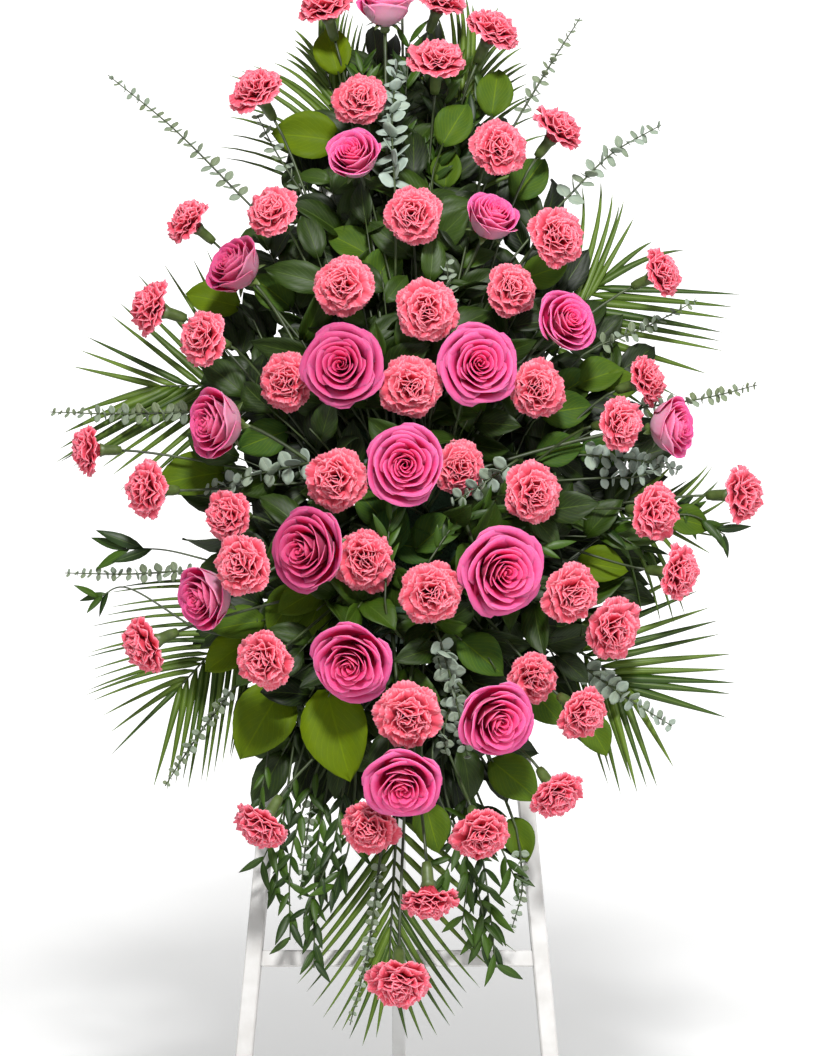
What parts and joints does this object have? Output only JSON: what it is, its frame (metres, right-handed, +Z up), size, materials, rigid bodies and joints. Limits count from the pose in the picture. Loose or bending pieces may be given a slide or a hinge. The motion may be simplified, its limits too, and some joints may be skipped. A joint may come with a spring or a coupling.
{
  "type": "standing funeral spray",
  "caption": "Oval spray of pink carnations and roses with palm, eucalyptus and broad leaves, leaning back on a white folding wooden easel.",
  "frame": {"origin": "on the floor, in the middle of the object's footprint box", "axes": "+Z up, the flowers face -Y, +X to the viewer's right as the picture is seen"},
  "size_m": [0.7838, 0.7547, 1.5155],
  "materials": {
    "white_paint": "white satin paint on wood",
    "steel": "zinc plated steel",
    "floral_foam": "wet green floral foam, matt and crumbly",
    "cage_plastic": "dark green moulded plastic",
    "carnation_petals": "soft matt petals, salmon pink with paler frilled edges",
    "rose_petals": "velvety petals, hot pink in the middle and paler outside",
    "stems": "green stems with a faint bloom",
    "palm_leaflets": "satin green leaflets",
    "eucalyptus_leaves": "silver green waxy leaves",
    "broad_leaves": "glossy leathery green leaves",
    "ruscus_leaves": "dark green satin leaves"
  },
  "bodies": {
    "frame": {"left_leg": "white_paint", "right_leg": "white_paint", "crossbar": "white_paint", "hanging_rail": "white_paint", "head_board": "white_paint", "hinge_bracket": "steel", "pivot_bolt": "steel", "foam_block": "floral_foam", "foam_cage": "cage_plastic", "carnations_top": "carnation_petals", "carnations_upper_left": "carnation_petals", "carnations_upper_right": "carnation_petals", "carnations_middle_high": "carnation_petals", "carnations_left": "carnation_petals", "carnations_middle": "carnation_petals", "carnations_right": "carnation_petals", "carnations_middle_low": "carnation_petals", "carnations_lower_left": "carnation_petals", "carnations_lower_right": "carnation_petals", "carnations_bottom": "carnation_petals", "rose_01": "rose_petals", "rose_02": "rose_petals", "rose_03": "rose_petals", "rose_04": "rose_petals", "rose_05": "rose_petals", "rose_06": "rose_petals", "rose_07": "rose_petals", "rose_08": "rose_petals", "rose_09": "rose_petals", "rose_10": "rose_petals", "rose_11": "rose_petals", "rose_12": "rose_petals", "rose_13": "rose_petals", "rose_14": "rose_petals", "rose_15": "rose_petals", "rose_16": "rose_petals", "rose_stems_high": "stems", "rose_stems_left": "stems", "rose_stems_right": "stems", "rose_stems_low": "stems", "palm_left_high": "palm_leaflets", "palm_left_low": "palm_leaflets", "palm_top_left": "palm_leaflets", "palm_top_right": "palm_leaflets", "palm_right_high": "palm_leaflets", "palm_right_middle": "palm_leaflets", "palm_right_low": "palm_leaflets", "palm_bottom": "palm_leaflets", "eucalyptus_high_left": "eucalyptus_leaves", "eucalyptus_high_right": "eucalyptus_leaves", "eucalyptus_left": "eucalyptus_leaves", "eucalyptus_right": "eucalyptus_leaves", "eucalyptus_low": "eucalyptus_leaves", "broad_leaves_high": "broad_leaves", "broad_leaves_left": "broad_leaves", "broad_leaves_right": "broad_leaves", "broad_leaves_low": "broad_leaves", "ruscus_left": "ruscus_leaves", "ruscus_right": "ruscus_leaves"},
    "rear_leg": {"rear_leg": "white_paint"}
  },
  "joints": [
    {"name": "rear_leg_fold", "type": "hinge", "parent": "frame", "child": "rear_leg", "pos_m": [-0.012, 0.04192, 1.21801], "axis": [1, 0, 0], "range_deg": [-25, 0]}
  ]
}
